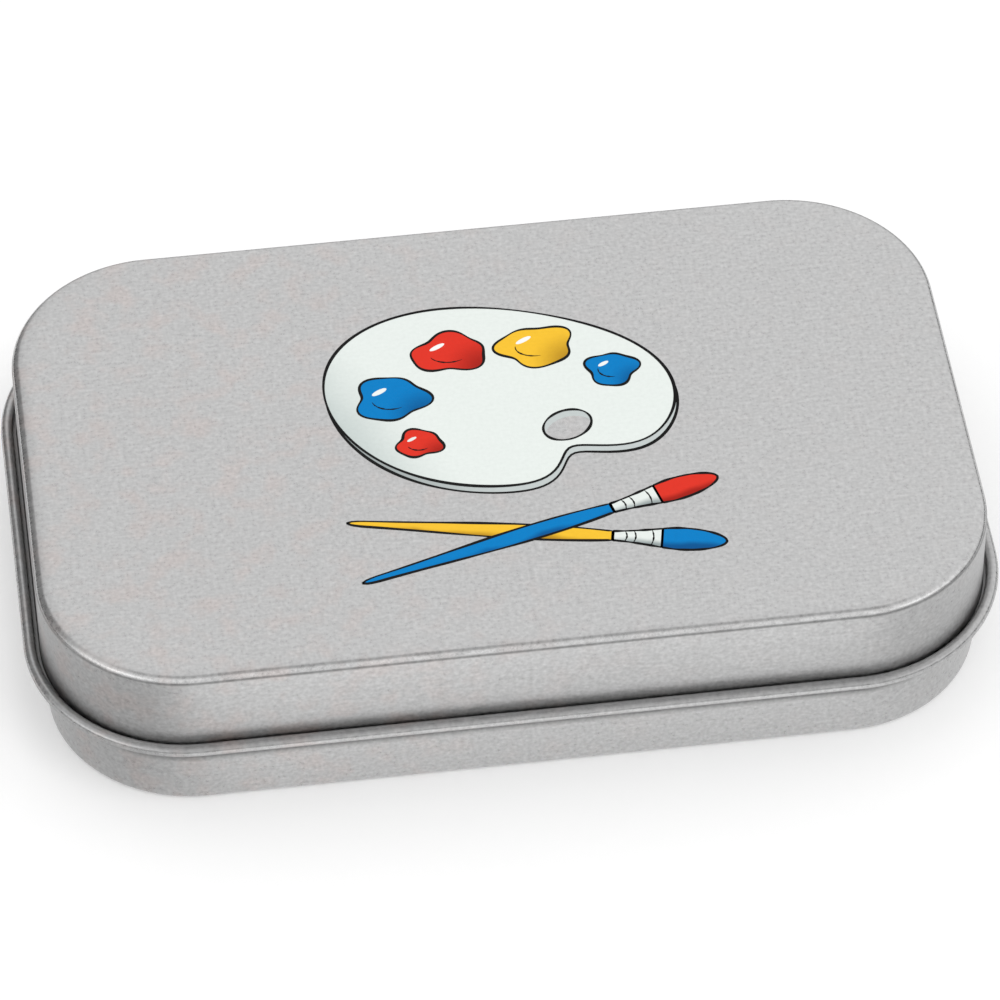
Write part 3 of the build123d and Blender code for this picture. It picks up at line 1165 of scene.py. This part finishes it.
def seen(start):
    """1 for rays that show the background: straight to the camera, or by way of metal or glass."""
    path = start.tree.nodes.new("ShaderNodeLightPath")
    camera, glossy, through = (
        Value(start.tree, path.outputs[name])
        for name in ("Is Camera Ray", "Is Glossy Ray", "Is Transmission Ray"))
    return camera.greater(glossy).greater(through)


class TIN_OT_studio(bpy.types.Operator):
    """Makes the floor, the light and the camera"""

    bl_idname = "tin.studio"
    bl_label = "Studio"

    def execute(self, context):
        studio = context.scene.tin_studio
        self.make_floor(studio)
        self.make_world(studio)
        for setting in CARDS:
            card(setting)
        # Painted shade on the floor, which only reflections see
        for setting in FLOOR_SHADES:
            board(setting)
        horizon()
        self.make_lamp()
        self.make_camera(studio)
        context.scene.view_settings.view_transform = "Standard"
        return {"FINISHED"}

    def make_floor(self, studio):
        """A wide flat square just under the tin."""
        corners = np.array([(-1, -1), (1, -1), (1, 1), (-1, 1)]) * FLOOR_HALF
        mesh = bpy.data.meshes.new("floor")
        mesh.from_pydata(np.insert(corners, 2, -FLOOR_DROP, axis=1), [], [(0, 1, 2, 3)])
        floor = linked("floor", mesh)
        material, at, shader = surface("floor")
        feed(
            shader, Base_Color=opaque(studio.floor), Roughness=0.9, Specular_IOR_Level=0.0,
            Emission_Color=seen(at), Emission_Strength=FLOOR_GLOW)
        mesh.materials.append(material)

    def make_world(self, studio):
        """Even light from all round, and white for rays that show the background."""
        world = bpy.data.worlds.new("studio")
        bpy.context.scene.world = world
        world.use_nodes = True
        tree = world.node_tree
        light = studio.sky + seen(Value(tree, None)) * (1.0 - studio.sky)
        tree.links.new(light.socket, tree.nodes["Background"].inputs["Color"])

    def make_lamp(self):
        """A soft round lamp over the tin, which reflections don't show."""
        data = bpy.data.lights.new("key", "AREA")
        data.shape = "DISK"
        data.size = LAMP["size"]
        data.energy = LAMP["energy"]
        lamp = linked("key", data)
        direction = Vector(facing(LAMP))
        lamp.location = direction * LAMP["distance"]
        lamp.rotation_euler = direction.to_track_quat("Z", "Y").to_euler()
        lamp.visible_glossy = False

    def make_camera(self, studio):
        """The camera at its eye, turned to its aim and then leaned by its roll."""
        data = bpy.data.cameras.new("camera")
        data.sensor_width = SENSOR_WIDTH
        data.lens = studio.lens
        data.clip_start, data.clip_end = 0.01, 20.0
        camera = linked("camera", data)
        eye, aim = Vector(studio.eye), Vector(studio.aim)
        turn = (eye - aim).to_track_quat("Z", "Y").to_matrix().to_4x4()
        camera.matrix_world = Matrix.Translation(eye) @ turn @ Matrix.Rotation(studio.roll, 4, "Z")
        bpy.context.scene.camera = camera


class TIN_PT_panel(bpy.types.Panel):
    """Lists the tin's pieces, sizes and colours in the sidebar"""

    bl_idname = "TIN_PT_panel"
    bl_label = "Pocket Tin"
    bl_space_type = "VIEW_3D"
    bl_region_type = "UI"
    bl_category = "Pocket Tin"

    def draw(self, context):
        for operator in OPERATORS:
            self.layout.operator(operator.bl_idname)
        for name in GROUPS:
            group = getattr(context.scene, name)
            column = self.layout.column(align=True)
            for setting in group.__annotations__:
                column.prop(group, setting)


OPERATORS = (
    TIN_OT_lid, TIN_OT_tray, TIN_OT_pins, TIN_OT_print_palette, TIN_OT_print_brushes, TIN_OT_studio)
GROUPS = {"tin_sizes": TinSizes, "tin_finish": TinFinish, "tin_studio": TinStudio}


def register():
    """Registers the classes and gives the scene its groups of settings."""
    for item in (*GROUPS.values(), *OPERATORS, TIN_PT_panel):
        bpy.utils.register_class(item)
    for name, group in GROUPS.items():
        setattr(bpy.types.Scene, name, PointerProperty(type=group))


def unregister():
    """Takes away what register added."""
    for name in GROUPS:
        delattr(bpy.types.Scene, name)
    for item in (TIN_PT_panel, *reversed(OPERATORS), *reversed(GROUPS.values())):
        bpy.utils.unregister_class(item)


def main():
    register()
    bpy.ops.tin.lid()
    bpy.ops.tin.tray()
    bpy.ops.tin.pins()
    bpy.ops.tin.print_palette()
    bpy.ops.tin.print_brushes()
    bpy.ops.tin.studio()


if __name__ == "__main__":
    main()
